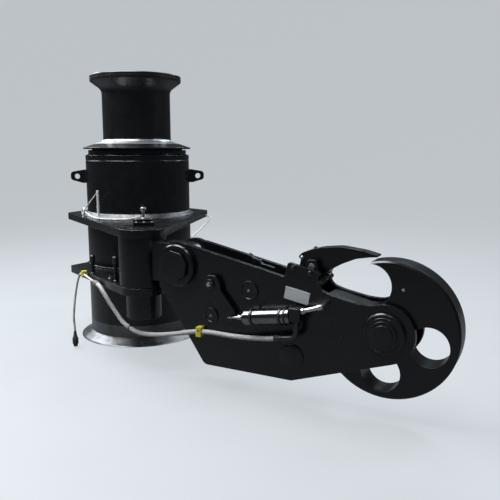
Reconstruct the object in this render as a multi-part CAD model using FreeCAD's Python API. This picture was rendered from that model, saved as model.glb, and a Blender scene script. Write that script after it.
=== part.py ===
import FreeCAD, Part
import math
import os

V = FreeCAD.Vector

# Frame: origin at the centre of the post's foot, +Z up, +X along the hook at rest
# King post and its weld to the deck
POST_R = 203.2
POST_WALL = 25.0
POST_FLOOR = 20.0
FOOT_WELD_LEG = 39.8
FOOT_WELD_H = 27.0

# Nose plates, measured from the post along the nose
PLATE_T = 26.0
LOW_PLATE_Z = 264.0
TOP_PLATE_Z = 456.5
NOSE_ANGLE = -50.75
NOSE_REACH = 458.5
UPPER_HALF_ANGLE = 20.0
UPPER_NOSE_R = 80.6
UPPER_NOSE_AHEAD = 10.5
UPPER_REAR_U = -87.0
UPPER_BACK_U = -262.0
UPPER_BACK_HALF = 175.0
LOWER_HALF_ANGLE = 24.8
LOWER_NOSE_R = 79.5
LOWER_CORNER_U = 60.0
LOWER_BACK_U = -5.0
LOWER_BACK_HALF = 209.0

# Winch housing on the post
HOUSING_STEP = 2.0
HOUSING_R = POST_R - HOUSING_STEP
HOUSING_WALL = 22.0
HOUSING_TOP_Z = 718.0
HOUSING_LID_T = 30.0
SEAM_BELOW_TOP = 23.3
SEAM_DEPTH = 1.5
HOUSING_WELD_LEG = 22.8
HOUSING_WELD_H = 18.0
NECK_R = HOUSING_R - 11.2
NECK_H = 16.0

# Warping head
HEAD_GAP = 4.0
LIP_R = HOUSING_R + 7.3
LIP_T = 5.0
DRUM_R = 131.3
FLANGE_R = 174.5
FLANGE_T = 24.0
HEAD_H = 278.0
HEAD_BORE_TOP = 86.0
SPINDLE_R = 60.0
RUN_GAP = 0.05

# Lifting lugs on the housing
LUG_Z = 632.0
LUG_OUT = 59.4
LUG_HOLE_OUT = 35.3
LUG_HOLE_R = 10.4
LUG_H = 52.0
LUG_T = 14.0
LUG_ANGLES = {"lifting_lug_left": 216.0, "lifting_lug_right": 36.0}

# Swivel pin and block
PIN_X = NOSE_REACH * math.cos(math.radians(NOSE_ANGLE))
PIN_Y = NOSE_REACH * math.sin(math.radians(NOSE_ANGLE))
SWIVEL_PIN_R = 42.0
SWIVEL_R = 78.0
FACE_GAP = 2.0
PIN_BOSS_R = 58.0
PIN_BOSS_H = 83.0
KEEPER_BASE_T = 5.0
KEEPER_BAR_H = 7.0
KEEPER_BAR_W = 12.0
KEEPER_BACK = 113.5
KEEPER_FRONT = 11.5
KEEPER_V = (-28.0, 42.0)

# Hook frame: s runs from the swivel pin along the hook, z is the height
HOOK_PIN_S = 180.0
HOOK_PIN_Z = 380.0
HOOK_PIN_R = 36.0
TONGUE_R = 62.0
CHEEK_T = 16.0
CHEEK_GAP = 40.0
CHEEK_OUT = CHEEK_GAP + CHEEK_T
CHEEK_EYE_R = 72.5
CHEEK_NOSE_R = 81.0
CHEEK_NOSE_S = 833.7
CHEEK_NOSE_Z = 249.7
CHEEK_BOTTOM_Z = 74.8
COLLAR_R = 66.0
COLLAR_H = 17.0
COLLAR_BEVEL = 4.0
NUT_FLATS = 90.0
NUT_SIDES = 8
NUT_TURN = 12.0
NUT_H = 11.0
SPACERS = {"frame_spacer_top": (431.0, 326.0, 26.0), "frame_spacer_rear": (300.0, 235.0, 21.0),
           "frame_spacer_low": (568.0, 148.0, 34.0)}
BOLTS = {"cheek_bolt_top": "frame_spacer_top", "cheek_bolt_rear": "frame_spacer_rear",
         "cheek_boss_low": "frame_spacer_low"}
BOLT_LAP = 3.0
BOLT_H = 6.0

# Disc hook
DISC_PIN_S = 832.5
DISC_PIN_Z = 252.0
DISC_PIN_R = 40.0
DISC_CENTRE_S = DISC_PIN_S + 2.5
DISC_CENTRE_Z = DISC_PIN_Z + 3.5
DISC_R = 189.0
DISC_T = 76.0
DISC_CHAMFER = 5.0
DISC_HOLE_R = 54.0
DISC_HOLE_AT = 115.0
DISC_HOLE_ANGLES = (-13.0, -96.0)
JAW_S = 784.2
JAW_Z = 374.0
JAW_R = 59.0
SEAT_SLOPE = 12.0

# Jaw block, guard arm and its pin
BLOCK_S = (592.0, 640.0)
BLOCK_Z = (346.0, 380.0)
GUARD_PIN_S = 618.0
GUARD_PIN_Z = 412.0
GUARD_PIN_R = 9.0
GUARD_EYE_R = 21.0
GUARD_T = 36.0
GUARD_GAP = 2.0

# Name plate
NAME_S = 582.7
NAME_Z = 328.2
NAME_SIZE = (75.0, 2.5, 36.0)
NAME_SLOPE = 10.0

# Release gear on the near cheek
CYL_Y = -87.0
CYL_R = 23.0
CYL_RING = 2.0
CYL_START = 55.0
CYL_LENGTH = 152.0
CYL_SLOPE = 8.6
STROKE = 30.0
ROD_R = 7.0
ROD_PIN_S = 374.0
ROD_PIN_Z = 244.0
LEVER_PIN_S = 306.0
LEVER_PIN_Z = 336.0
LEVER_PIN_R = 9.0
LEVER_T = 10.0
LEVER_Y = -73.0
BRACKET_L = 34.0
BRACKET_Z = (262.0, 303.0)
STAY_R = 5.0
STAY_END = (667.0, 312.0)

# Lock rod between the cheeks
LOCK_Y = (4.0, 16.0)
LOCK_R = 6.0

# Hose from the lower plate to the cylinder, and the thin cable that feeds it
HOSE_R = 7.5
SLEEVE_R = 10.0
ELBOW_R = 8.0
LEAD = 18.0
CLIP_GAP = 0.5
HOSE_MEET = (246.0, -378.0, 138.0)
SLEEVE_ENDS = ((62.0, -347.0, 274.0), (99.0, -366.0, 270.5))
CABLE_R = 4.0
PLUG_R = 8.5
PLUG_AT = (-78.0, -306.0)
PLUG_Z = (3.0, 63.0)

# Pull wire, handle and lanyard
WIRE_R = 2.5
WIRE_OUT = 7.5
HANDLE_OUT = 18.0
HANDLE_ANGLE = -89.5
HANDLE_R = 4.2
HANDLE_H = 105.0
EYE_OUT = 13.9
EYE_ANGLE = -113.0
EYE_H = 23.5
EYE_R = 12.0
EYE_HOLE_R = 6.5
EYE_T = 6.0

os.makedirs("parts", exist_ok=True)


def cyl(r, h, base, axis=V(0, 0, 1)):
    return Part.makeCylinder(r, h, base, axis)


def rounded(corners, lift):
    # Closed outline: each corner is (a, b, radius); lift turns (a, b) into a point
    n = len(corners)
    runs = []
    for i in range(n):
        a, b, r = corners[i]
        p = V(a, b, 0)
        q0 = V(corners[i - 1][0], corners[i - 1][1], 0)
        q1 = V(corners[(i + 1) % n][0], corners[(i + 1) % n][1], 0)
        d0 = (q0 - p).normalize()
        d1 = (q1 - p).normalize()
        if r <= 0:
            runs.append((p, None, p))
            continue
        half = d0.getAngle(d1) / 2
        back = r / math.tan(half)
        centre = p + (d0 + d1).normalize() * (r / math.sin(half))
        mid = centre + (p - centre).normalize() * r
        runs.append((p + d0 * back, mid, p + d1 * back))
    edges = []
    for i in range(n):
        start, mid, end = runs[i]
        if mid is not None:
            edges.append(Part.Arc(lift(start), lift(mid), lift(end)).toShape())
        nxt = runs[(i + 1) % n][0]
        if (nxt - end).Length > 1e-4:
            edges.append(Part.LineSegment(lift(end), lift(nxt)).toShape())
    return Part.Face(Part.Wire(edges))


def upright(corners, y0, y1):
    # Plate standing in the hook's plane, between two Y values about the hook's middle
    face = rounded(corners, lambda p: V(PIN_X + p.x, PIN_Y + y0, p.y))
    return face.extrude(V(0, y1 - y0, 0))


def flat(corners, z, t, angle=0.0):
    face = rounded(corners, lambda p: V(p.x, p.y, z))
    solid = face.extrude(V(0, 0, t))
    solid.rotate(V(0, 0, 0), V(0, 0, 1), angle)
    return solid


def turned(profile):
    # Solid of revolution about Z from (radius, height) or (radius, height, fillet) points
    corners = [(p[0], p[1], p[2] if len(p) > 2 else 0) for p in profile]
    return rounded(corners, lambda p: V(p.x, 0, p.y)).revolve(V(0, 0, 0), V(0, 0, 1), 360)


def shaft(profile, s, z):
    # Solid of revolution about an axis across the hook; heights run toward the near side
    solid = turned(profile)
    solid.Placement = FreeCAD.Placement(V(PIN_X + s, PIN_Y, z), FreeCAD.Rotation(V(0, 0, 1), V(0, -1, 0)))
    return solid


def across(r, y0, y1, s, z):
    # Cylinder across the hook, between two Y values about its middle
    return cyl(r, y1 - y0, V(PIN_X + s, PIN_Y + y0, z), V(0, 1, 0))


def both(side, a, b):
    # Range of Y from a to b on one side of the hook's middle
    return min(side * a, side * b), max(side * a, side * b)


def box(s0, s1, y0, y1, z0, z1):
    return Part.makeBox(s1 - s0, y1 - y0, z1 - z0, V(PIN_X + s0, PIN_Y + y0, z0))


def rod(r, start, end):
    start, end = V(*start), V(*end)
    return cyl(r, (end - start).Length, start, end - start)


def lead(start, end):
    # Point a short straight run beyond the end, so that a cord leaves a fitting in line with it
    return tuple(V(*end) + (V(*end) - V(*start)).normalize() * LEAD)


def tube_path(points, r):
    # Round cord or pipe: straight runs joined by tangent arcs
    pts = [V(*p) for p in points]
    edges = []
    at = pts[0]
    tight = []
    for i in range(1, len(pts) - 1):
        a, b = pts[i - 1] - pts[i], pts[i + 1] - pts[i]
        short = min(a.Length, b.Length)
        turn = (math.pi - a.getAngle(b)) / 2
        radius = 0.45 * short / math.tan(turn)
        d0 = V(a).normalize()
        d1 = V(b).normalize()
        centre = pts[i] + (d0 + d1).normalize() * (radius / math.cos(turn))
        mid = centre + (pts[i] - centre).normalize() * radius
        p0 = pts[i] + d0 * (0.45 * short)
        p1 = pts[i] + d1 * (0.45 * short)
        edges.append(Part.LineSegment(at, p0).toShape())
        edges.append(Part.Arc(p0, mid, p1).toShape())
        at = p1
        tight.append(radius)
    edges.append(Part.LineSegment(at, pts[-1]).toShape())
    wire = Part.Wire(edges)
    ring = Part.Wire(Part.makeCircle(r, pts[0], pts[1] - pts[0]))
    solid = wire.makePipeShell([ring], True, False)
    print("cord length", round(wire.Length, 1), "tightest", round(min(tight), 1),
          "volume ratio", round(solid.Volume / (math.pi * r * r * wire.Length), 4))
    return solid


parts = {}
plate_top = TOP_PLATE_Z + PLATE_T

# King post
inner_r = POST_R - POST_WALL
parts["king_post"] = turned([
    (0, 0), (POST_R, 0), (POST_R, plate_top), (inner_r, plate_top), (inner_r, POST_FLOOR), (0, POST_FLOOR)])
parts["deck_weld_ring"] = turned([
    (POST_R, 0), (POST_R + FOOT_WELD_LEG, 0), (POST_R + FOOT_WELD_LEG - 3, 3), (POST_R + 3, FOOT_WELD_H - 2),
    (POST_R, FOOT_WELD_H)])

# Upper nose plate: straight sides that meet beyond the nose, a rounded nose and a broad back
side = math.radians(UPPER_HALF_ANGLE)
side_at = (NOSE_REACH + UPPER_NOSE_AHEAD) * math.sin(side) + UPPER_NOSE_R
rear_half = (side_at - UPPER_REAR_U * math.sin(side)) / math.cos(side)
upper_outline = [
    (UPPER_BACK_U, -UPPER_BACK_HALF, 20), (UPPER_REAR_U, -rear_half, 30),
    (side_at / math.sin(side), 0, UPPER_NOSE_R),
    (UPPER_REAR_U, rear_half, 30), (UPPER_BACK_U, UPPER_BACK_HALF, 20)]

# Lower nose plate: the same way, with its back edges drawn in to the post
side = math.radians(LOWER_HALF_ANGLE)
low_side_at = NOSE_REACH * math.sin(side) + LOWER_NOSE_R
corner_half = (low_side_at - LOWER_CORNER_U * math.sin(side)) / math.cos(side)
lower_outline = [
    (LOWER_BACK_U, -LOWER_BACK_HALF, 0), (LOWER_CORNER_U, -corner_half, 14),
    (low_side_at / math.sin(side), 0, LOWER_NOSE_R),
    (LOWER_CORNER_U, corner_half, 14), (LOWER_BACK_U, LOWER_BACK_HALF, 0)]
for name, outline, z in (("lower_plate", lower_outline, LOW_PLATE_Z), ("upper_plate", upper_outline, TOP_PLATE_Z)):
    plate = flat(outline, z, PLATE_T, NOSE_ANGLE)
    plate = plate.cut(cyl(POST_R, 2 * PLATE_T, V(0, 0, z - PLATE_T / 2)))
    parts[name] = plate.cut(cyl(SWIVEL_PIN_R, 2 * PLATE_T, V(PIN_X, PIN_Y, z - PLATE_T / 2)))

# Winch housing, with a seam groove near its top and a neck under the head
in_r = HOUSING_R - HOUSING_WALL
lid_z = HOUSING_TOP_Z - HOUSING_LID_T
seam_z = HOUSING_TOP_Z - SEAM_BELOW_TOP
neck_top = HOUSING_TOP_Z + NECK_H
parts["winch_housing"] = turned([
    (SPINDLE_R, lid_z), (in_r, lid_z), (in_r, plate_top), (HOUSING_R, plate_top),
    (HOUSING_R, seam_z - SEAM_DEPTH), (HOUSING_R - SEAM_DEPTH, seam_z), (HOUSING_R, seam_z + SEAM_DEPTH),
    (HOUSING_R, HOUSING_TOP_Z - 4), (NECK_R, HOUSING_TOP_Z), (NECK_R, neck_top), (SPINDLE_R, neck_top)])
parts["housing_weld_ring"] = turned([
    (HOUSING_R, plate_top), (HOUSING_R + HOUSING_WELD_LEG, plate_top),
    (HOUSING_R + HOUSING_WELD_LEG - 3, plate_top + 3), (HOUSING_R + 3, plate_top + HOUSING_WELD_H - 2),
    (HOUSING_R, plate_top + HOUSING_WELD_H)])

# Warping head: lip, drum with rounded ends, flange; it turns on the spindle
lip_z = neck_top + HEAD_GAP
head_top = lip_z + HEAD_H
bore = SPINDLE_R + RUN_GAP
bore_top = head_top - HEAD_BORE_TOP
parts["capstan_spindle"] = cyl(SPINDLE_R, bore_top - FACE_GAP - lid_z, V(0, 0, lid_z))
parts["capstan_head"] = turned([
    (bore, lip_z), (LIP_R, lip_z), (LIP_R, lip_z + LIP_T), (DRUM_R, lip_z + 31, 16),
    (DRUM_R, head_top - FLANGE_T - 30, 32), (FLANGE_R - 2, head_top - FLANGE_T),
    (FLANGE_R, head_top - FLANGE_T + 3), (FLANGE_R, head_top - 3), (FLANGE_R - 3, head_top),
    (0, head_top), (0, bore_top), (bore, bore_top)])

# Lifting lugs
lug_tip = HOUSING_R + LUG_OUT
for name, angle in LUG_ANGLES.items():
    outline = [(HOUSING_R - 3, LUG_Z - LUG_H / 2, 0), (HOUSING_R + 14, LUG_Z - LUG_H / 2, 10),
               (lug_tip, LUG_Z - LUG_H / 4, 13), (lug_tip, LUG_Z + LUG_H / 3, 13),
               (HOUSING_R + 10, LUG_Z + LUG_H / 2, 8), (HOUSING_R - 3, LUG_Z + LUG_H / 2, 0)]
    face = rounded(outline, lambda p: V(p.x, -LUG_T / 2, p.y))
    lug = face.extrude(V(0, LUG_T, 0))
    lug = lug.cut(cyl(LUG_HOLE_R, 2 * LUG_T, V(HOUSING_R + LUG_HOLE_OUT, -LUG_T, LUG_Z), V(0, 1, 0)))
    lug = lug.cut(cyl(HOUSING_R, 2 * LUG_H, V(0, 0, LUG_Z - LUG_H)))
    lug.rotate(V(0, 0, 0), V(0, 0, 1), angle)
    parts[name] = lug

# Swivel pin, the boss under the lower plate and the keeper plate on top
boss_z = LOW_PLATE_Z - PIN_BOSS_H
parts["swivel_pin"] = cyl(SWIVEL_PIN_R, plate_top - boss_z, V(PIN_X, PIN_Y, boss_z))
parts["pin_end_cap"] = cyl(PIN_BOSS_R, PIN_BOSS_H, V(PIN_X, PIN_Y, boss_z)).cut(
    cyl(SWIVEL_PIN_R, PIN_BOSS_H, V(PIN_X, PIN_Y, boss_z)))


def keeper_slab(u0, u1, height):
    v0, v1 = KEEPER_V
    return flat([(u0, v0, 2), (u1, v0, 2), (u1, v1, 2), (u0, v1, 2)], plate_top, height, NOSE_ANGLE)


keeper_u0 = NOSE_REACH - KEEPER_BACK
keeper_u1 = NOSE_REACH - KEEPER_FRONT
keeper = keeper_slab(keeper_u0, keeper_u1, KEEPER_BASE_T)
for u in (keeper_u0, keeper_u1 - KEEPER_BAR_W):
    keeper = keeper.fuse(keeper_slab(u, u + KEEPER_BAR_W, KEEPER_BASE_T + KEEPER_BAR_H))
parts["pin_keeper_plate"] = keeper.removeSplitter()

# Swivel block: a barrel on the pin and a tongue between the cheeks
block_z0 = LOW_PLATE_Z + PLATE_T + FACE_GAP
block_z1 = TOP_PLATE_Z - FACE_GAP
tongue_half = CHEEK_GAP - FACE_GAP
block = cyl(SWIVEL_R, block_z1 - block_z0, V(PIN_X, PIN_Y, block_z0))
block = block.fuse(upright([
    (0, HOOK_PIN_Z - TONGUE_R, 0), (HOOK_PIN_S + TONGUE_R, HOOK_PIN_Z - TONGUE_R, TONGUE_R - 0.1),
    (HOOK_PIN_S + TONGUE_R, HOOK_PIN_Z + TONGUE_R, TONGUE_R - 0.1), (0, HOOK_PIN_Z + TONGUE_R, 0)],
    -tongue_half, tongue_half))
block = block.cut(cyl(SWIVEL_PIN_R + RUN_GAP, block_z1 - block_z0, V(PIN_X, PIN_Y, block_z0)))
parts["swivel_block"] = block.cut(across(HOOK_PIN_R, -CHEEK_GAP, CHEEK_GAP, HOOK_PIN_S, HOOK_PIN_Z))

# Horizontal hook pin with an eight-sided nut each side
nut_in = CHEEK_OUT + COLLAR_H
nut_out = nut_in + NUT_H
hook_pin = across(HOOK_PIN_R, -nut_out, nut_out, HOOK_PIN_S, HOOK_PIN_Z)
nut_r = NUT_FLATS / 2 / math.cos(math.pi / NUT_SIDES)
nut_outline = []
for k in range(NUT_SIDES):
    a = math.radians(NUT_TURN) + 2 * math.pi * k / NUT_SIDES
    nut_outline.append((HOOK_PIN_S + nut_r * math.cos(a), HOOK_PIN_Z + nut_r * math.sin(a), 4))
for side in (-1, 1):
    y0, y1 = both(side, nut_in + 1, nut_out)
    hook_pin = hook_pin.fuse(upright(nut_outline, y0, y1))
parts["hook_pin"] = hook_pin.removeSplitter()

# Cheek plates: rear corner, top edge, ear, rope seat, round nose and sloping belly
cheek_outline = [
    (150, 446, 0), (220, 445.7, 0), (544, 376.9, 6), (553, 419.9, 5), (649, 399.4, 5), (635.8, 353.5, 30),
    (690.6, 336.9, 200), (752, 325.3, 200), (795.6, 322.3, 150), (CHEEK_NOSE_S, CHEEK_NOSE_Z + CHEEK_NOSE_R, 0),
    (CHEEK_NOSE_S + 26, CHEEK_NOSE_Z - CHEEK_NOSE_R + 4, 0), (567, CHEEK_BOTTOM_Z, 20),
    (272.7, CHEEK_BOTTOM_Z, 24), (120.6, 295.6, 6), (108.6, 304, 10), (108.6, 355, 20)]
for name, side in (("cheek_plate_near", -1), ("cheek_plate_far", 1)):
    y0, y1 = both(side, CHEEK_GAP, CHEEK_OUT)
    cheek = upright(cheek_outline, y0, y1)
    cheek = cheek.fuse(across(CHEEK_NOSE_R, y0, y1, CHEEK_NOSE_S, CHEEK_NOSE_Z))
    cheek = cheek.fuse(across(CHEEK_EYE_R, y0, y1, HOOK_PIN_S, HOOK_PIN_Z)).removeSplitter()
    cheek = cheek.cut(across(HOOK_PIN_R + RUN_GAP, y0, y1, HOOK_PIN_S, HOOK_PIN_Z))
    parts[name] = cheek.cut(across(DISC_PIN_R, y0, y1, DISC_PIN_S, DISC_PIN_Z))

# Collars round the hook pin, outside the cheeks
collar_profile = [
    (HOOK_PIN_R + RUN_GAP, CHEEK_OUT), (COLLAR_R, CHEEK_OUT), (COLLAR_R, CHEEK_OUT + COLLAR_H - COLLAR_BEVEL),
    (COLLAR_R - COLLAR_BEVEL, CHEEK_OUT + COLLAR_H), (HOOK_PIN_R + RUN_GAP, CHEEK_OUT + COLLAR_H)]
parts["cheek_collar_near"] = shaft(collar_profile, HOOK_PIN_S, HOOK_PIN_Z)
parts["cheek_collar_far"] = shaft([(r, -h) for r, h in collar_profile], HOOK_PIN_S, HOOK_PIN_Z)

# Disc pin with stepped heads
half_pin = [(DISC_PIN_R, CHEEK_OUT), (58, CHEEK_OUT), (58, CHEEK_OUT + 6), (54, CHEEK_OUT + 10),
            (37, CHEEK_OUT + 10), (37, CHEEK_OUT + 16), (27, CHEEK_OUT + 16), (27, CHEEK_OUT + 20)]
parts["disc_pin"] = shaft(
    [(0, -CHEEK_OUT - 20)] + [(r, -h) for r, h in reversed(half_pin)] + half_pin + [(0, CHEEK_OUT + 20)],
    DISC_PIN_S, DISC_PIN_Z)

# Jaw block between the cheeks, with two lugs for the guard arm
block_mid = BLOCK_Z[1] - 1
jaw = box(BLOCK_S[0], BLOCK_S[1], -CHEEK_GAP, CHEEK_GAP, BLOCK_Z[0], BLOCK_Z[1])
for side in (-1, 1):
    y0, y1 = both(side, GUARD_T / 2 + GUARD_GAP, CHEEK_GAP)
    jaw = jaw.fuse(upright([
        (BLOCK_S[0] + 8, block_mid, 0), (BLOCK_S[1], block_mid, 0), (BLOCK_S[1], GUARD_PIN_Z - 17, 3),
        (GUARD_PIN_S + 14, GUARD_PIN_Z + 18, 8), (GUARD_PIN_S - 14, GUARD_PIN_Z + 18, 8),
        (BLOCK_S[0] + 8, GUARD_PIN_Z - 17, 3)], y0, y1))
parts["jaw_block"] = jaw.cut(across(GUARD_PIN_R, -CHEEK_GAP, CHEEK_GAP, GUARD_PIN_S, GUARD_PIN_Z))
parts["guard_pin"] = across(GUARD_PIN_R, -CHEEK_GAP, CHEEK_GAP, GUARD_PIN_S, GUARD_PIN_Z)

# Spacers between the cheeks and the bolt heads outside the near one
for name, (s, z, r) in SPACERS.items():
    parts[name] = across(r, -CHEEK_GAP, CHEEK_GAP, s, z)
for name, spacer in BOLTS.items():
    s, z, r = SPACERS[spacer]
    rim = r + BOLT_LAP
    parts[name] = shaft([(0, CHEEK_OUT), (rim, CHEEK_OUT), (rim, CHEEK_OUT + BOLT_H - 3),
                         (rim - 3, CHEEK_OUT + BOLT_H), (0, CHEEK_OUT + BOLT_H)], s, z)

# Disc hook: a disc with a rope seat cut in from the top and two handling holes
disc = across(DISC_R, -DISC_T / 2, DISC_T / 2, DISC_CENTRE_S, DISC_CENTRE_Z)
disc = disc.makeChamfer(DISC_CHAMFER, [e for e in disc.Edges if isinstance(e.Curve, Part.Circle)])
slope = math.radians(SEAT_SLOPE)
foot_s = JAW_S - JAW_R * math.sin(slope)
foot_z = JAW_Z - JAW_R * math.cos(slope)
above = DISC_CENTRE_Z + DISC_R + 20
clear_s = DISC_CENTRE_S - DISC_R - 20
mouth = upright([
    (foot_s, foot_z, 0), (clear_s, foot_z + (foot_s - clear_s) * math.tan(slope), 0), (clear_s, above, 0),
    (JAW_S, above, 0), (JAW_S, JAW_Z, 0)], -DISC_T, DISC_T)
disc = disc.cut(mouth.fuse(across(JAW_R, -DISC_T, DISC_T, JAW_S, JAW_Z)))
for angle in DISC_HOLE_ANGLES:
    a = math.radians(angle)
    disc = disc.cut(across(DISC_HOLE_R, -DISC_T, DISC_T, DISC_PIN_S + DISC_HOLE_AT * math.cos(a),
                           DISC_PIN_Z + DISC_HOLE_AT * math.sin(a)))
parts["disc_hook"] = disc.cut(across(DISC_PIN_R + RUN_GAP, -DISC_T, DISC_T, DISC_PIN_S, DISC_PIN_Z))

# Guard arm over the mouth, curved above and below
guard_outline = [
    (566.3, 430.7, 4), (579.8, 444.2, 10), (599.6, 452.9, 30), (636.8, 462.8, 60), (691.1, 469.5, 120),
    (760.3, 461.8, 60), (797, 453, 2), (798, 448.5, 2), (777.7, 446.5, 30), (738.1, 439.4, 60),
    (698.6, 422, 60), (664, 402.2, 10), (655, 391, 4), (630, 391, 4), (600, 396, 10), (590, 424, 10)]
guard = upright(guard_outline, -GUARD_T / 2, GUARD_T / 2)
guard = guard.fuse(across(GUARD_EYE_R, -GUARD_T / 2, GUARD_T / 2, GUARD_PIN_S, GUARD_PIN_Z)).removeSplitter()
parts["guard_arm"] = guard.cut(across(GUARD_PIN_R + RUN_GAP, -GUARD_T, GUARD_T, GUARD_PIN_S, GUARD_PIN_Z))

# Lock rod in the trough between the cheeks, on a strap from the top spacer
top_s, top_z, top_r = SPACERS["frame_spacer_top"]
strap = upright([(top_s - 16, top_z + 10, 0), (top_s + 14, top_z + 10, 0), (top_s + 5, top_z + 80, 8),
                 (top_s - 23, top_z + 86, 8)], LOCK_Y[0], LOCK_Y[1])
strap = strap.cut(across(top_r, LOCK_Y[0], LOCK_Y[1], top_s, top_z))
lock_y = PIN_Y + (LOCK_Y[0] + LOCK_Y[1]) / 2
lock_in = (PIN_X + top_s - 37, lock_y, top_z + 91.4)
lock_out = (PIN_X + top_s + 16, lock_y, top_z + 63)
lock = strap.fuse(rod(LOCK_R, lock_in, lock_out))
lock = lock.fuse(cyl(LOCK_R + 4, 8, V(*lock_in), V(*lock_out) - V(*lock_in)))
lock = lock.fuse(upright([(top_s + 12, top_z + 57, 0), (top_s + 48, top_z + 50, 4), (top_s + 50, top_z + 62, 4),
                          (top_s + 14, top_z + 69, 0)], LOCK_Y[0], LOCK_Y[1]))
parts["lock_rod"] = lock.removeSplitter()

# Name plate, left blank
wide, thick, high = NAME_SIZE
plate = Part.makeBox(wide, thick, high, V(-wide / 2, -thick, -high / 2))
plate.rotate(V(0, 0, 0), V(0, 1, 0), NAME_SLOPE)
plate.translate(V(PIN_X + NAME_S, PIN_Y - CHEEK_OUT, NAME_Z))
parts["name_plate"] = plate

# Release cylinder, its rod and the foot bracket with a stay to the cheek
slope = math.radians(CYL_SLOPE)
along = V(math.cos(slope), 0, math.sin(slope))
rod_end = V(PIN_X + ROD_PIN_S, PIN_Y + CYL_Y, ROD_PIN_Z)
ring_r = CYL_R + CYL_RING
barrel = cyl(CYL_R, CYL_LENGTH, rod_end + along * CYL_START, along)
barrel = barrel.fuse(cyl(ring_r, 27, rod_end + along * CYL_START, along))
barrel = barrel.fuse(cyl(ring_r, 32, rod_end + along * (CYL_START + CYL_LENGTH - 32), along))
barrel = barrel.cut(cyl(ROD_R + RUN_GAP, CYL_START + 60 + STROKE, rod_end, along))
parts["release_cylinder"] = barrel.removeSplitter()
cylinder_rod = cyl(ROD_R, CYL_START + 55, rod_end, along)
cylinder_rod = cylinder_rod.fuse(cyl(ROD_R + 3, CYL_START - STROKE - 3, rod_end, along))
lever_out = LEVER_Y - 1
cylinder_rod = cylinder_rod.fuse(across(ROD_R, CYL_Y - ROD_R, lever_out, ROD_PIN_S + 8, ROD_PIN_Z + 1.2))
parts["cylinder_rod"] = cylinder_rod.removeSplitter()
foot_s = ROD_PIN_S + (CYL_START + CYL_LENGTH) * math.cos(slope)
bracket_end = foot_s + BRACKET_L
bracket = upright([(foot_s - 6, BRACKET_Z[0], 0), (bracket_end, BRACKET_Z[0], 6), (bracket_end, BRACKET_Z[1], 6),
                   (foot_s - 6, BRACKET_Z[1], 0)], CYL_Y - 17, -CHEEK_OUT)
solid_barrel = cyl(ring_r, CYL_LENGTH, rod_end + along * CYL_START, along)
bracket = bracket.cut(solid_barrel)
stay_y = PIN_Y + CYL_Y
bracket = bracket.fuse(rod(STAY_R, (PIN_X + bracket_end - 5, stay_y, BRACKET_Z[1] - 11),
                           (PIN_X + STAY_END[0], stay_y, STAY_END[1])))
bracket = bracket.fuse(across(STAY_R + 2, CYL_Y - 7, -CHEEK_OUT, STAY_END[0], STAY_END[1]))
parts["cylinder_bracket"] = bracket.removeSplitter()

# Release lever and its pivot
lever = upright([
    (LEVER_PIN_S - 23, LEVER_PIN_Z + 11, 12), (LEVER_PIN_S - 9, LEVER_PIN_Z + 26, 12),
    (LEVER_PIN_S + 19, LEVER_PIN_Z + 27, 12), (LEVER_PIN_S + 34, LEVER_PIN_Z + 7, 14),
    (LEVER_PIN_S + 38, LEVER_PIN_Z - 18, 16), (ROD_PIN_S + 20, ROD_PIN_Z + 15, 12),
    (ROD_PIN_S + 12, ROD_PIN_Z - 11, 8), (ROD_PIN_S - 12, ROD_PIN_Z - 14, 8),
    (LEVER_PIN_S + 6, LEVER_PIN_Z - 42, 14), (LEVER_PIN_S - 22, LEVER_PIN_Z - 20, 12)],
    LEVER_Y, LEVER_Y + LEVER_T)
parts["release_lever"] = lever.cut(across(LEVER_PIN_R + RUN_GAP, -CHEEK_OUT - 60, 0, LEVER_PIN_S, LEVER_PIN_Z))
head_in = -LEVER_Y + FACE_GAP
parts["lever_pivot"] = shaft([
    (0, CHEEK_OUT), (LEVER_PIN_R, CHEEK_OUT), (LEVER_PIN_R, head_in), (15, head_in), (15, head_in + 6),
    (13, head_in + 8), (0, head_in + 8)], LEVER_PIN_S, LEVER_PIN_Z)

# Thick hose from its sleeve beside the lower plate to the elbow under the cylinder
sleeve_in, sleeve_out = SLEEVE_ENDS
parts["hose_gland"] = rod(SLEEVE_R, sleeve_in, sleeve_out)
parts["hose_post"] = tube_path(
    [sleeve_out, lead(sleeve_in, sleeve_out), (140, -379, 242), (158, -374, 212), (184, -370, 178),
     (214, -372, 147), HOSE_MEET], HOSE_R)
elbow_y = PIN_Y + CYL_Y
elbow_in = (PIN_X + 528, elbow_y, 203.3)
elbow_turn = (PIN_X + 594, elbow_y, 214.7)
elbow_top = (PIN_X + 594, elbow_y, BRACKET_Z[0])
parts["hose_frame"] = tube_path(
    [HOSE_MEET, (278, -384, 129), (335.8, -394, 131.8), (400, -405, 143.5), (470, -416, 160.8),
     (540, -423, 180.5), (600, -423.5, 185), (670, -427, 184.6), (745, -433, 191), lead(elbow_turn, elbow_in),
     elbow_in], HOSE_R)
elbow = rod(ELBOW_R, elbow_in, elbow_turn)
elbow = elbow.fuse(cyl(SLEEVE_R, 30, V(*elbow_in), V(*elbow_turn) - V(*elbow_in)))
elbow = elbow.fuse(rod(SLEEVE_R, (elbow_turn[0], elbow_y, elbow_turn[2] - SLEEVE_R), elbow_top))
elbow = elbow.fuse(cyl(SLEEVE_R + 1, 10, V(elbow_top[0], elbow_y, BRACKET_Z[0] - 10)))
parts["hose_elbow"] = elbow.removeSplitter()

# Clip that holds the hose to the near cheek
clip = box(256, 274, -CHEEK_OUT - 22, -CHEEK_OUT, 167, 197)
hole = rod(HOSE_R + CLIP_GAP, (PIN_X + 230, PIN_Y - 67.8, 177.9), (PIN_X + 300, PIN_Y - 68.3, 184.3))
parts["hose_clip"] = clip.cut(hole)

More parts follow.
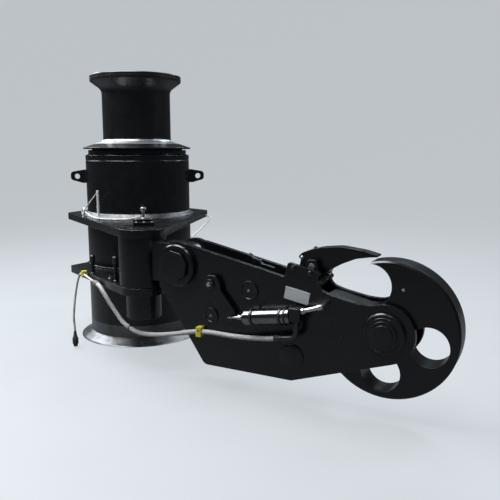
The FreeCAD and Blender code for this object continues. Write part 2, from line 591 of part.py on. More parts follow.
# Thin cable: from the plug at the deck, over a clip on the plate's edge, to the sleeve
plug_top = (PLUG_AT[0], PLUG_AT[1], PLUG_Z[1])
parts["feed_cable"] = tube_path(
    [plug_top, lead((PLUG_AT[0], PLUG_AT[1], PLUG_Z[0]), plug_top), (-81, -307, 106), (-78, -305, 148),
     (-73, -302, 194), (-66, -298, 236), (-60, -295, 264), (-46, -296, 286), (-14, -308, 283),
     (24, -327.5, 277), sleeve_in], CABLE_R)
parts["cable_plug"] = turned([
    (0, PLUG_Z[0]), (PLUG_R - 2, PLUG_Z[0]), (PLUG_R, PLUG_Z[0] + 3), (PLUG_R, PLUG_Z[1] - 22),
    (PLUG_R - 2.5, PLUG_Z[1] - 18), (PLUG_R - 3.5, PLUG_Z[1]), (0, PLUG_Z[1])])
parts["cable_plug"].translate(V(PLUG_AT[0], PLUG_AT[1], 0))
edge_angle = NOSE_ANGLE + LOWER_HALF_ANGLE
clip = Part.makeBox(16, 17, 24, V(100, -low_side_at - 17, LOW_PLATE_Z + 8))
clip = clip.cut(rod(CABLE_R + CLIP_GAP, (88, -low_side_at - 13.9, LOW_PLATE_Z + 22),
                    (122.4, -low_side_at - 11.6, LOW_PLATE_Z + 19)))
clip.rotate(V(0, 0, 0), V(0, 0, 1), edge_angle)
parts["cable_clip"] = clip


def on_ring(r, angle, z):
    return (r * math.cos(math.radians(angle)), r * math.sin(math.radians(angle)), z)


# Pull wire along the front of the upper plate, and the handle with its stay and eye
weld_rim = HOUSING_R + HOUSING_WELD_LEG
wire_at = weld_rim + WIRE_OUT
handle_foot = on_ring(weld_rim + HANDLE_OUT, HANDLE_ANGLE, plate_top)
eye_foot = on_ring(weld_rim + EYE_OUT, EYE_ANGLE, plate_top)
eye_top = (eye_foot[0], eye_foot[1], plate_top + EYE_H)
parts["pull_wire"] = tube_path(
    [(eye_foot[0] + 12, eye_foot[1] - 1, plate_top + 21), on_ring(wire_at + 2, -103, plate_top + 14),
     on_ring(wire_at, -94, plate_top + 6), on_ring(wire_at, -83, plate_top + 3.2),
     on_ring(wire_at + 1, -71, plate_top + 4), on_ring(wire_at + 1, -60, plate_top + 7),
     on_ring(wire_at + 4, -51, plate_top + 12)], WIRE_R)
handle = cyl(HANDLE_R, HANDLE_H, V(*handle_foot))
handle = handle.fuse(cyl(HANDLE_R + 3, 6, V(*handle_foot)))
handle = handle.fuse(rod(2, (handle_foot[0], handle_foot[1], plate_top + HANDLE_H - 5), eye_top))
handle = handle.fuse(cyl(HANDLE_R, EYE_H - 6, V(*eye_foot)))
across_eye = V(0.4, 0.9, 0).normalize()
eye_face = V(*eye_top) - across_eye * (EYE_T / 2)
handle = handle.fuse(cyl(EYE_R, EYE_T, eye_face, across_eye))
handle = handle.cut(cyl(EYE_HOLE_R, EYE_T, eye_face, across_eye))
parts["handle_rod"] = handle.removeSplitter()

# Lanyard from the upper plate's side to the top of the far cheek
parts["lanyard"] = tube_path(
    [(187.2, 199.4, 466), (206, 206, 461), (222, 190, 450), (453, -307, 453.2)], WIRE_R)

for name, shape in parts.items():
    shape.exportStep("parts/" + name + ".step")
    print(name, shape.isValid(), len(shape.Solids), round(shape.Volume / 1e3), [round(v) for v in (
        shape.BoundBox.XMin, shape.BoundBox.XMax, shape.BoundBox.YMin, shape.BoundBox.YMax,
        shape.BoundBox.ZMin, shape.BoundBox.ZMax)])
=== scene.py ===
import math

import bpy
import bmesh
from mathutils import Matrix, Vector


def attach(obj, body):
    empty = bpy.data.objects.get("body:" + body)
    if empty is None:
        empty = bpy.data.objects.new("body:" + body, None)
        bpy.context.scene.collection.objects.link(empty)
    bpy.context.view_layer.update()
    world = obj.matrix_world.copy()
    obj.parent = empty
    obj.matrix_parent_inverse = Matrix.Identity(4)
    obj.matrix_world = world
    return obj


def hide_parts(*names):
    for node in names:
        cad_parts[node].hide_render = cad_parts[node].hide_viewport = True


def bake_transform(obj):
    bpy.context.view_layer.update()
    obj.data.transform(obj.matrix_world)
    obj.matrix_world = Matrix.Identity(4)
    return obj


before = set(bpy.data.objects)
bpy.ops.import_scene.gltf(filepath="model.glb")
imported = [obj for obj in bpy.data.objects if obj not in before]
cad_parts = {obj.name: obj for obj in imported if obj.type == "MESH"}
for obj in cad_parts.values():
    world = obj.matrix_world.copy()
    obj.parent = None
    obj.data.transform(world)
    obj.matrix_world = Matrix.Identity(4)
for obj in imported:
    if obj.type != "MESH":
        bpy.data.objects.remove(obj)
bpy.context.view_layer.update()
MM = 0.001
ORIGIN, UP = (0, 0, 0), (0, 0, 1)

# The hook, in (s, z) millimetres: s runs along it from the swivel pin and z is the height.
# Its near side faces -Y: OUT leads away from the near cheek, IN away from the far one.
PIN = Vector((290.1, -355.05, 0))
CHEEK_OUT = 56
OUT, IN = (0, -1, 0), (0, 1, 0)
HOOK_PIN, DISC_PIN, LEVER_PIVOT = (180, 380), (832.5, 252), (306, 336)
CAP_TOP, CAP_REAR, CAP_LOW = (431, 326), (300, 235), (568, 148)
LATCH, STAY_PIN, FRAME_SCREW = (650, 377), (667, 312), (716, 227.3)
EAR_BOLTS = ((569.3, 405.7), (620.6, 394.9))
ROD_TIP, CYLINDER_OUT, CYLINDER_TILT = (374, 244), 87, math.radians(8.6)
NAME_PLATE, NAME_PLATE_TILT = (582.7, 328.2), math.radians(10)

# The post: radii and heights in millimetres, and the way the nose of its two plates points
POST_R, HOUSING_R, SPINDLE_R, BEAD_R = 203.2, 201.2, 60.0, 204.2
LOW_TOP, PLATE_TOP, UNDERSIDE = 290.0, 482.5, 27
SEAM_Z, HOUSING_TOP, NECK_TOP, SEAL_TOP, LIP_Z, HEAD_TOP = 694.7, 718.0, 734.0, 737.4, 738.0, 1016.0
NOSE_DEGREES = -50.75
NOSE_ANGLE = math.radians(NOSE_DEGREES)
KEEPER_U0, KEEPER_U1 = 345.0, 447.0
LUG_DEGREES = (216.0, 36.0)

# Camera
CAMERA_AT = (1.5263, -1.9213, 0.7239)
CAMERA_YAW = 28.0
CAMERA_PITCH = 9.22
CAMERA_LENS, SENSOR_WIDTH = 43.2, 36.0

# Light: the middle that the lamps point at, the world's strength for every ray, what the camera's own
# rays see on top of it on the floor and beyond, and the share of that in mirrored rays
MIDDLE = (0.4, -0.2, 0.4)
AMBIENT = 0.07
FLOOR_GLOW, WORLD_GLOW = 0.56, 0.7
GLOSS_SHARE = 0.1

# Routes of the cords in millimetres, as in the solids but for the pull wire, which sags further out
SLEEVE_IN = (62, -347, 274)
SLEEVE_OUT = (99, -366, 270.5)
HOSE_MEET = (246, -378, 138)
HOSE_POST = [SLEEVE_OUT, (115, -374.2, 269), (140, -379, 242), (158, -374, 212), (184, -370, 178),
             (214, -372, 147), HOSE_MEET]
ELBOW_Y = PIN.y - CYLINDER_OUT
ELBOW_IN = (PIN.x + 528, ELBOW_Y, 203.3)
ELBOW_TURN = (PIN.x + 594, ELBOW_Y, 214.7)
ELBOW_TOP_Z = 262
HOSE_FRAME = [HOSE_MEET, (278, -384, 129), (335.8, -394, 131.8), (400, -405, 143.5), (470, -416, 160.8),
              (540, -423, 180.5), (600, -423.5, 185), (670, -427, 184.6), (745, -433, 191),
              (PIN.x + 510.3, ELBOW_Y, 200.2), ELBOW_IN]
PLUG_AT = (-78, -306)
FEED_CABLE = [SLEEVE_IN, (24, -327.5, 277), (-14, -308, 283), (-46, -296, 286), (-60, -295, 264),
              (-66, -298, 236), (-73, -302, 194), (-78, -305, 148), (-81, -307, 106), (*PLUG_AT, 81),
              (*PLUG_AT, 63)]


def polar(r, degrees, z):
    # Point round the post
    return (r * math.cos(math.radians(degrees)), r * math.sin(math.radians(degrees)), z)


PULL_WIRE = [(-81, -220, PLATE_TOP + 21), polar(240, -103, PLATE_TOP + 13), polar(252, -94, PLATE_TOP + 6),
             polar(259, -83, PLATE_TOP + 3), polar(260, -71, PLATE_TOP + 3), polar(255, -60, PLATE_TOP + 4),
             polar(244, -54, PLATE_TOP + 9), polar(235.5, -51, PLATE_TOP + 12)]
LANYARD = [(187.2, 199.4, 466), (206, 206, 461), (222, 190, 450), (453, -307, 453.2)]
HOSE_D, CABLE_D, WIRE_D = 15, 8, 5


# Node graphs for the materials
class Graph:
    def __init__(self, name):
        self.material = bpy.data.materials.new(name)
        self.material.use_nodes = True
        self.tree = self.material.node_tree
        self.shader = self.tree.nodes["Principled BSDF"]
        self.place = self.add("ShaderNodeTexCoord").outputs["Object"]

    def add(self, kind, **values):
        node = self.tree.nodes.new(kind)
        for key, value in values.items():
            setattr(node, key, value)
        return node

    def link(self, a, b):
        self.tree.links.new(a, b)

    def feed(self, socket, value):
        if isinstance(value, bpy.types.NodeSocket):
            self.link(value, socket)
        else:
            socket.default_value = value

    def noise(self, scale, detail=3.0, rough=0.55, place=None):
        node = self.add("ShaderNodeTexNoise")
        self.link(place or self.place, node.inputs["Vector"])
        node.inputs["Scale"].default_value = scale
        node.inputs["Detail"].default_value = detail
        node.inputs["Roughness"].default_value = rough
        return node.outputs["Fac"]

    def stretch(self, scale):
        node = self.add("ShaderNodeMapping")
        self.link(self.place, node.inputs["Vector"])
        node.inputs["Scale"].default_value = scale
        return node.outputs["Vector"]

    def remap(self, value, low, high, to_low=0.0, to_high=1.0):
        node = self.add("ShaderNodeMapRange")
        self.link(value, node.inputs["Value"])
        for key, number in (("From Min", low), ("From Max", high), ("To Min", to_low), ("To Max", to_high)):
            node.inputs[key].default_value = number
        return node.outputs["Result"]

    def mix(self, factor, a, b):
        node = self.add("ShaderNodeMix", data_type="RGBA")
        self.feed(node.inputs["Factor"], factor)
        self.feed(node.inputs["A"], a)
        self.feed(node.inputs["B"], b)
        return node.outputs["Result"]

    def math(self, operation, a, b):
        node = self.add("ShaderNodeMath", operation=operation)
        self.feed(node.inputs[0], a)
        self.feed(node.inputs[1], b)
        return node.outputs["Value"]

    def bump(self, height, distance, strength, normal=None):
        node = self.add("ShaderNodeBump")
        self.link(height, node.inputs["Height"])
        node.inputs["Distance"].default_value = distance
        node.inputs["Strength"].default_value = strength
        if normal is not None:
            self.link(normal, node.inputs["Normal"])
        return node.outputs["Normal"]

    def rubbed_and_lit_edges(self, radius):
        # How far a rounded normal departs from the real one: high along sharp edges
        bevel = self.add("ShaderNodeBevel", samples=6)
        bevel.inputs["Radius"].default_value = radius
        real = self.add("ShaderNodeNewGeometry")
        dot = self.add("ShaderNodeVectorMath", operation="DOT_PRODUCT")
        self.link(bevel.outputs["Normal"], dot.inputs[0])
        self.link(real.outputs["Normal"], dot.inputs[1])
        return self.remap(dot.outputs["Value"], 0.995, 0.82)

    def facing_up(self, low, high):
        # 0 to 1 as the normal's upward part goes from low to high
        real = self.add("ShaderNodeNewGeometry")
        split = self.add("ShaderNodeSeparateXYZ")
        self.link(real.outputs["Normal"], split.inputs[0])
        return self.remap(split.outputs["Z"], low, high)


def grey(v, tint=(1.0, 1.0, 1.0)):
    return (v * tint[0], v * tint[1], v * tint[2], 1.0)


COOL = (0.78, 1.0, 1.22)
COOL_WHITE = (0.95, 1.0, 1.04)
DUST = 0.05
# Width and least strength of the lighter line along edges, part scuffed paint and part painted highlight
SCUFF_AND_HIGHLIGHT_WIDTH, SCUFF_AND_HIGHLIGHT_LEAST = 0.0016, 0.26
RAGGED = 0.002


def paint(name, shade=0.0028, rough=(0.22, 0.32), edge_scuff_and_highlight=0.36, bare=None):
    # Satin black paint over steel: orange peel, dust on top faces, and along the edges a lighter line that is
    # part scuff and part painted highlight
    g = Graph(name)
    cloudy = g.noise(5.0, 5.0)
    base = g.mix(g.remap(cloudy, 0.35, 0.65), grey(shade, COOL), grey(shade * 1.7, COOL))
    dusty = g.math("MULTIPLY", g.facing_up(0.75, 1.0), g.remap(g.noise(14.0, 6.0), 0.42, 0.75, 0.0, DUST))
    base = g.mix(dusty, base, grey(0.05, (1.0, 1.0, 0.98)))
    # Lighter grey along every sharp edge, never below a least share so it runs as a continuous line: part
    # scuff, part painted highlight
    patchy = g.remap(g.noise(9.0, 2.0), 0.35, 0.65, SCUFF_AND_HIGHLIGHT_LEAST, edge_scuff_and_highlight)
    scuff_and_highlight = g.math("MULTIPLY", g.rubbed_and_lit_edges(SCUFF_AND_HIGHLIGHT_WIDTH), patchy)
    base = g.mix(scuff_and_highlight, base, grey(0.3, (0.9, 1.0, 1.08)))
    scratch = g.remap(g.noise(90.0, 2.0, place=g.stretch((1.0, 6.0, 0.25))), 0.72, 0.76, 0.0, 0.15)
    base = g.mix(scratch, base, grey(0.02))
    shine = g.remap(g.noise(22.0, 5.0, 0.6), 0.3, 0.7, rough[0], rough[1])
    if bare is not None:
        # Bare steel of a given shade between two heights in metres, with slightly ragged edges
        bottom, top, steel = bare
        split = g.add("ShaderNodeSeparateXYZ")
        g.link(g.place, split.inputs[0])
        ragged = g.math("ADD", split.outputs["Z"], g.remap(g.noise(30.0, 3.0), 0.0, 1.0, -RAGGED, RAGGED))
        below = g.remap(ragged, top, top - RAGGED)
        band = g.math("MULTIPLY", below, g.remap(ragged, bottom, bottom + RAGGED))
        stain = g.remap(g.noise(15.0, 6.0), 0.4, 0.65)
        metal = g.mix(stain, grey(steel, (0.96, 1.0, 1.05)), grey(steel * 0.7))
        base = g.mix(band, base, metal)
        g.link(band, g.shader.inputs["Metallic"])
        shine = g.math("ADD", shine, g.math("MULTIPLY", band, 0.1))
    g.link(base, g.shader.inputs["Base Color"])
    g.link(shine, g.shader.inputs["Roughness"])
    peel = g.bump(g.noise(420.0, 2.0), 0.0003, 0.03)
    g.link(g.bump(g.noise(16.0, 3.0), 0.003, 0.05, peel), g.shader.inputs["Normal"])
    g.shader.inputs["Specular IOR Level"].default_value = 0.5
    return g.material


def bright_steel(name, shade, rough, grain, spots):
    # Ground bare steel with darker heat stains and fine grinding marks
    g = Graph(name)
    stain = g.remap(g.noise(18.0, 6.0, 0.65), 0.4, 0.7, 0.0, spots)
    base = g.mix(stain, grey(shade, (1.0, 1.0, 1.02)), grey(shade * 0.35, (1.0, 0.97, 0.93)))
    g.link(base, g.shader.inputs["Base Color"])
    g.link(g.remap(g.noise(70.0, 4.0), 0.3, 0.7, rough[0], rough[1]), g.shader.inputs["Roughness"])
    marks = g.bump(g.noise(300.0, 2.0, place=g.stretch((1.0, 1.0, 5.0))), 0.0004, grain)
    g.link(g.bump(g.noise(60.0, 3.0), 0.002, grain), marks.node.inputs["Normal"])
    g.link(marks, g.shader.inputs["Normal"])
    g.shader.inputs["Metallic"].default_value = 1.0
    return g.material


def gloss_black(name):
    # Polished black rings
    g = Graph(name)
    base = g.mix(g.remap(g.noise(30.0, 4.0), 0.4, 0.6), grey(0.03, COOL), grey(0.05, COOL))
    g.link(base, g.shader.inputs["Base Color"])
    g.link(g.remap(g.noise(50.0, 3.0), 0.3, 0.7, 0.12, 0.24), g.shader.inputs["Roughness"])
    g.link(g.bump(g.noise(220.0, 2.0), 0.0002, 0.2), g.shader.inputs["Normal"])
    g.shader.inputs["Metallic"].default_value = 0.35
    return g.material


def plastic(name, colour, darker, rough=0.45):
    # Plain moulded or dipped surface, slightly pitted
    g = Graph(name)
    g.link(g.mix(g.remap(g.noise(40.0, 5.0), 0.4, 0.65), colour, darker), g.shader.inputs["Base Color"])
    g.link(g.remap(g.noise(90.0, 3.0), 0.3, 0.7, rough - 0.08, rough + 0.1), g.shader.inputs["Roughness"])
    g.link(g.bump(g.noise(350.0, 3.0), 0.0004, 0.4), g.shader.inputs["Normal"])
    return g.material


def braided(name, colour, darker, pitch):
    # Woven jacket from two crossing waves round the tube, laid out by the mesh's own map
    g = Graph(name)
    uv = g.add("ShaderNodeTexCoord").outputs["UV"]
    weave = []
    for slope in (1.0, -1.0):
        spin = g.add("ShaderNodeMapping")
        g.link(uv, spin.inputs["Vector"])
        spin.inputs["Rotation"].default_value = (0.0, 0.0, slope * math.radians(52))
        wave = g.add("ShaderNodeTexWave")
        g.link(spin.outputs["Vector"], wave.inputs["Vector"])
        wave.inputs["Scale"].default_value = pitch
        weave.append(wave.outputs["Fac"])
    cross = g.math("MAXIMUM", weave[0], weave[1])
    tint = g.mix(g.remap(cross, 0.2, 0.9), darker, colour)
    tint = g.mix(g.remap(g.noise(12.0, 5.0), 0.45, 0.7, 0.0, 0.4), tint, darker)
    g.link(tint, g.shader.inputs["Base Color"])
    g.shader.inputs["Roughness"].default_value = 0.5
    g.link(g.bump(cross, 0.0006, 0.5), g.shader.inputs["Normal"])
    return g.material


def brushed_plate(name):
    # Aluminium with fine lines along it
    g = Graph(name)
    lines = g.noise(160.0, 3.0, place=g.stretch((0.15, 1.0, 8.0)))
    g.link(g.mix(g.remap(lines, 0.35, 0.65), grey(0.66, COOL_WHITE), grey(0.82, COOL_WHITE)),
           g.shader.inputs["Base Color"])
    g.link(g.remap(lines, 0.3, 0.7, 0.28, 0.45), g.shader.inputs["Roughness"])
    g.link(g.bump(lines, 0.0002, 0.3), g.shader.inputs["Normal"])
    g.shader.inputs["Metallic"].default_value = 0.4
    return g.material


# Materials
PAINT = paint("black_satin_paint")
POST_PAINT = paint("black_post_paint", bare=(-0.1, 0.071, 0.2))
HEAD_PAINT = paint("black_head_paint", rough=(0.26, 0.34), bare=(0.7565, 0.7735, 0.75))
PAINT_SOFT = paint("black_paint_machined", shade=0.0032, rough=(0.2, 0.28))
WELD_PAINT = paint("black_paint_weld", shade=0.005, rough=(0.25, 0.38), edge_scuff_and_highlight=0.05)
WELD_STEEL = bright_steel("ground_weld_steel", shade=0.13, rough=(0.3, 0.5), grain=0.35, spots=0.9)
PIN_STEEL = bright_steel("zinc_steel", shade=0.62, rough=(0.25, 0.38), grain=0.15, spots=0.3)
GLOSS = gloss_black("black_gloss")
ROD_STEEL = bright_steel("rod_steel", shade=0.34, rough=(0.2, 0.32), grain=0.1, spots=0.4)
BARREL = bright_steel("gunmetal", shade=0.2, rough=(0.1, 0.18), grain=0.05, spots=0.3)
DARK_METAL = bright_steel("dark_fitting", shade=0.08, rough=(0.3, 0.45), grain=0.2, spots=0.3)
HOSE = braided("hose_jacket", grey(0.62), grey(0.42), 0.9)
CABLE = plastic("cable_sheath", grey(0.66), grey(0.45))
SLEEVE = plastic("taupe_rubber", grey(0.2, (1.25, 1.0, 0.8)), grey(0.13, (1.2, 1.0, 0.85)), 0.5)
WIRE = plastic("galvanised_wire", grey(0.88, COOL_WHITE), grey(0.66), 0.32)
RUBBER = plastic("black_rubber", grey(0.025), grey(0.045), 0.5)
YELLOW = plastic("yellow_plastic", (0.78, 0.68, 0.06, 1.0), (0.6, 0.5, 0.04, 1.0), 0.42)
DECK_STEEL = bright_steel("stained_weld_steel", shade=0.24, rough=(0.26, 0.45), grain=0.3, spots=0.8)
PLATE = brushed_plate("blank_name_plate")


# Mesh helpers: sizes are in millimetres, and every piece is made in place, in metres
SMOOTH_ANGLE = 38.0
CURVE_STEPS = 10


def new_piece(name, bm, material, body, angle=SMOOTH_ANGLE):
    mesh = bpy.data.meshes.new(name)
    bmesh.ops.recalc_face_normals(bm, faces=bm.faces)
    bm.to_mesh(mesh)
    bm.free()
    mesh.shade_smooth()
    mesh.set_sharp_from_angle(angle=math.radians(angle))
    mesh.materials.append(material)
    piece = bpy.data.objects.new(name, mesh)
    bpy.context.scene.collection.objects.link(piece)
    if body is not None:
        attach(piece, body)
    return piece


def frame_of(base, axis):
    # Matrix that takes +Z to the axis and the origin to the base point
    spin = Vector(UP).rotation_difference(Vector(axis).normalized()).to_matrix().to_4x4()
    return Matrix.Translation(Vector(base) * MM) @ spin


def add_lathe(bm, profile, base, axis, steps, wobble=None):
    # Turned form from (radius, height) points; wobble(k, turn) moves a point in radius and height
    place = frame_of(base, axis)
    rings = []
    for k, (r, h) in enumerate(profile):
        if r <= 0:
            rings.append([bm.verts.new(place @ Vector((0, 0, h * MM)))])
            continue
        ring = []
        for i in range(steps):
            turn = 2 * math.pi * i / steps
            dr, dh = wobble(k, turn) if wobble else (0, 0)
            point = Vector(((r + dr) * math.cos(turn), (r + dr) * math.sin(turn), h + dh)) * MM
            ring.append(bm.verts.new(place @ point))
        rings.append(ring)
    for low, high in zip(rings, rings[1:]):
        for i in range(steps):
            j = (i + 1) % steps
            corners = [low[i % len(low)], low[j % len(low)], high[j % len(high)], high[i % len(high)]]
            corners = list(dict.fromkeys(corners))
            if len(corners) > 2:
                bm.faces.new(corners)
    apart = (Vector(profile[0]) - Vector(profile[-1])).length > 1e-6
    if len(rings[0]) > 1 and len(rings[-1]) > 1 and apart:
        for i in range(steps):
            j = (i + 1) % steps
            bm.faces.new([rings[-1][i], rings[-1][j], rings[0][j], rings[0][i]])


def lathe(name, profile, base, axis, material, body, steps, wobble=None, angle=SMOOTH_ANGLE):
    bm = bmesh.new()
    add_lathe(bm, profile, base, axis, steps, wobble)
    return new_piece(name, bm, material, body, angle)


def rounded_profile(corners, steps=5):
    # (radius, height, fillet) corners to points, with an arc at each filleted corner
    points = []
    for i, (r, h, fillet) in enumerate(corners):
        p = Vector((r, h))
        if fillet <= 0 or i in (0, len(corners) - 1):
            points.append((r, h))
            continue
        to_last = Vector(corners[i - 1][:2]) - p
        to_next = Vector(corners[i + 1][:2]) - p
        half = to_last.angle(to_next) / 2
        back = min(fillet / math.tan(half), 0.45 * to_last.length, 0.45 * to_next.length)
        start, end = p + to_last.normalized() * back, p + to_next.normalized() * back
        if half > math.radians(85):
            points.append((r, h))
            continue
        for k in range(steps + 1):
            t = k / steps
            points.append(tuple(start * (1 - t) ** 2 + p * 2 * t * (1 - t) + end * t ** 2))
    return points


def add_hexagon(bm, flats, height, base, axis, turn, chamfer):
    # Bolt head or nut with a chamfered rim
    place = frame_of(base, axis)
    radius = flats / 2 / math.cos(math.pi / 6)
    turns = [turn + 2 * math.pi * i / 6 for i in range(6)]
    rings = []
    for r, h in ((radius, 0), (radius, height - chamfer), (radius - 1.6 * chamfer, height)):
        corners = [Vector((r * math.cos(a), r * math.sin(a), h)) * MM for a in turns]
        rings.append([bm.verts.new(place @ corner) for corner in corners])
    for low, high in zip(rings, rings[1:]):
        for i in range(6):
            j = (i + 1) % 6
            bm.faces.new([low[i], low[j], high[j], high[i]])
    bm.faces.new(rings[-1])
    bm.faces.new(list(reversed(rings[0])))


def smooth_line(route):
    # Points of the route's own smooth curve, in metres
    data = bpy.data.curves.new("route", "CURVE")
    data.dimensions = "3D"
    data.resolution_u = CURVE_STEPS
    spline = data.splines.new("NURBS")
    spline.points.add(len(route) - 1)
    for point, at in zip(spline.points, route):
        point.co = (at[0] * MM, at[1] * MM, at[2] * MM, 1.0)
    spline.order_u = 3
    spline.use_endpoint_u = True
    holder = bpy.data.objects.new("route", data)
    mesh = bpy.data.meshes.new_from_object(holder)
    line = [v.co.copy() for v in mesh.vertices]
    bpy.data.objects.remove(holder)
    bpy.data.meshes.remove(mesh)
    bpy.data.curves.remove(data)
    return line


def add_tube(bm, line, radius, sides, swell=None):
    # Closed tube along a line, with a map that runs round and along it
    layer = bm.loops.layers.uv.verify()
    rings, lengths = [], [0.0]
    for a, b in zip(line, line[1:]):
        lengths.append(lengths[-1] + (b - a).length)
    side = None
    for i, p in enumerate(line):
        ahead = (line[min(i + 1, len(line) - 1)] - line[max(i - 1, 0)]).normalized()
        if side is None:
            side = ahead.orthogonal().normalized()
        side = (side - ahead * side.dot(ahead)).normalized()
        up = ahead.cross(side)
        r = radius * MM * (swell(lengths[i] / lengths[-1]) if swell else 1.0)
        rings.append([bm.verts.new(p + (side * math.cos(a) + up * math.sin(a)) * r)
                      for a in (2 * math.pi * k / sides for k in range(sides))])
    for i in range(len(rings) - 1):
        for k in range(sides):
            j = (k + 1) % sides
            face = bm.faces.new([rings[i][k], rings[i][j], rings[i + 1][j], rings[i + 1][k]])
            for loop, (u, v) in zip(face.loops, ((k, i), (k + 1, i), (k + 1, i + 1), (k, i + 1))):
                loop[layer].uv = (u / sides * 2 * math.pi * radius, lengths[v] / MM)
    bm.faces.new(list(reversed(rings[0])))
    bm.faces.new(rings[-1])


def tube(name, line, radius, material, body, sides):
    bm = bmesh.new()
    add_tube(bm, line, radius, sides)
    return new_piece(name, bm, material, body)


def hook_at(s, z, y):
    # Point on the hook: along it, height, and distance from its middle toward the near side
    return (PIN.x + s, PIN.y - y, z)


def nose_at(u, v, z):
    # Point on the plates' nose: away from the post, across, and height
    c, s = math.cos(NOSE_ANGLE), math.sin(NOSE_ANGLE)
    return (u * c - v * s, u * s + v * c, z)


# The solids keep their shape; a small bevel, in millimetres, lets their edges catch the light
JOIN_GAP = 0.02
FLAT_ANGLE, EDGE_ANGLE = math.radians(0.4), math.radians(34)


def dress(name, material, width):
    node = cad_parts[name]
    node.data.materials.clear()
    node.data.materials.append(material)
    weld = node.modifiers.new("join", "WELD")
    weld.merge_threshold = JOIN_GAP * MM
    flat = node.modifiers.new("flat", "DECIMATE")
    flat.decimate_type = "DISSOLVE"
    flat.angle_limit = FLAT_ANGLE
    if width > 0:
        bevel = node.modifiers.new("edge", "BEVEL")
        bevel.width = width * MM
        bevel.segments = 2
        bevel.limit_method = "ANGLE"
        bevel.angle_limit = EDGE_ANGLE
        bevel.use_clamp_overlap = True
    soft = node.modifiers.new("normals", "WEIGHTED_NORMAL")
    soft.weight = 60
    soft.keep_sharp = False


DRESSED = (
    (PAINT, {"lower_plate": 2.5, "upper_plate": 2.5, "lifting_lug_left": 2.0, "lifting_lug_right": 2.0,
             "pin_end_cap": 2.0, "swivel_block": 2.0, "cheek_plate_near": 2.0, "cheek_plate_far": 2.0,
             "jaw_block": 1.5, "frame_spacer_top": 0.8, "frame_spacer_rear": 0.8, "frame_spacer_low": 0.8,
             "release_lever": 1.5, "pin_keeper_plate": 1.0}),
    (PAINT_SOFT, {"capstan_spindle": 0.0, "swivel_pin": 1.0, "hook_pin": 1.5, "disc_hook": 1.5,
                  "guard_arm": 1.5}),
    (POST_PAINT, {"king_post": 1.5}),
    (DARK_METAL, {"lock_rod": 0.6}),
    (PIN_STEEL, {"guard_pin": 0.6}),
    (WIRE, {"handle_rod": 0.6}),
    (PLATE, {"name_plate": 0.6}),
    (YELLOW, {"hose_clip": 1.0, "cable_clip": 1.0}))
for material, widths in DRESSED:
    for node, width in widths.items():
        dress(node, material, width)


# Warping head and housing, turned smooth
head = lathe("warping_head", rounded_profile([
    (SPINDLE_R + 0.05, LIP_Z, 0), (208.5, LIP_Z, 0.8), (208.5, LIP_Z + 5, 1.5), (131.3, LIP_Z + 31, 16),
    (131.3, HEAD_TOP - 54, 32), (172.5, HEAD_TOP - 24, 2), (174.5, HEAD_TOP - 21, 1),
    (174.5, HEAD_TOP - 12, 0.3), (173.3, HEAD_TOP - 11, 0.3), (174.5, HEAD_TOP - 10, 0.3),
    (174.5, HEAD_TOP - 3, 2), (171.5, HEAD_TOP, 2), (0, HEAD_TOP, 0), (0, HEAD_TOP - 86, 0),
    (SPINDLE_R + 0.05, HEAD_TOP - 86, 0)], 6), ORIGIN, UP, HEAD_PAINT, "head", 180)
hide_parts("capstan_head")
housing = lathe("drive_housing", rounded_profile([
    (SPINDLE_R, 688, 0), (179.2, 688, 0), (179.2, PLATE_TOP, 0), (HOUSING_R, PLATE_TOP, 0),
    (HOUSING_R, SEAM_Z - 2, 0.6), (199.6, SEAM_Z, 0.4), (HOUSING_R, SEAM_Z + 2, 0.6),
    (HOUSING_R, HOUSING_TOP - 4, 2), (190, HOUSING_TOP, 2), (190, NECK_TOP, 1),
    (SPINDLE_R, NECK_TOP, 0)], 4),
    ORIGIN, UP, PAINT, "mast", 180)
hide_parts("winch_housing")


# Weld rings, ground bright, with the ripple of the passes on their outer face
WELD_STEPS = 1260
WELD_FACE = ((0.78, 0.2), (0.55, 0.45), (0.33, 0.68), (0.14, 0.88))


def ripple(k, turn):
    # The first point lies on the plate and the last ones inside the post, so they stay put
    if not 0 < k < len(WELD_FACE) + 3:
        return 0, 0
    beat = 0.16 * math.sin(turn * 190 + 0.8 * math.sin(turn * 5)) + 0.22 * math.sin(turn * 17 + 0.4 * k)
    return beat, 0.7 * beat


def ring_weld(name, node, inner, leg, z, height, steel):
    profile = [(inner + leg - 0.8, z + 0.1), (inner + leg - 1.6, z + 2.2)]
    for across, up in WELD_FACE:
        profile.append((inner + leg * across, z + height * up))
    profile += [(inner + 0.6, z + height - 0.8), (inner - 1.0, z + height - 1), (inner - 1.0, z + 0.1)]
    piece = lathe(name, profile, ORIGIN, UP, steel, "mast", WELD_STEPS, ripple, 60)
    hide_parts(node)


ring_weld("deck_weld", "deck_weld_ring", POST_R, 39.8, 0, 27, DECK_STEEL)
ring_weld("housing_weld", "housing_weld_ring", HOUSING_R, 17, PLATE_TOP, 17, WELD_STEEL)


# Painted fillet beads where the plates and lugs meet the post
BEAD_STEP = 2.4


def add_bead(bm, points, radius):
    line = [Vector(p) * MM for p in points]
    add_tube(bm, line, radius, 8, lambda t: 1.0 + 0.10 * math.sin(t * len(line) * 1.9))


def arc_points(r, a0, a1, z):
    count = max(3, int(abs(math.radians(a1 - a0)) * r / BEAD_STEP))
    return [polar(r, a0 + (a1 - a0) * k / count, z) for k in range(count + 1)]


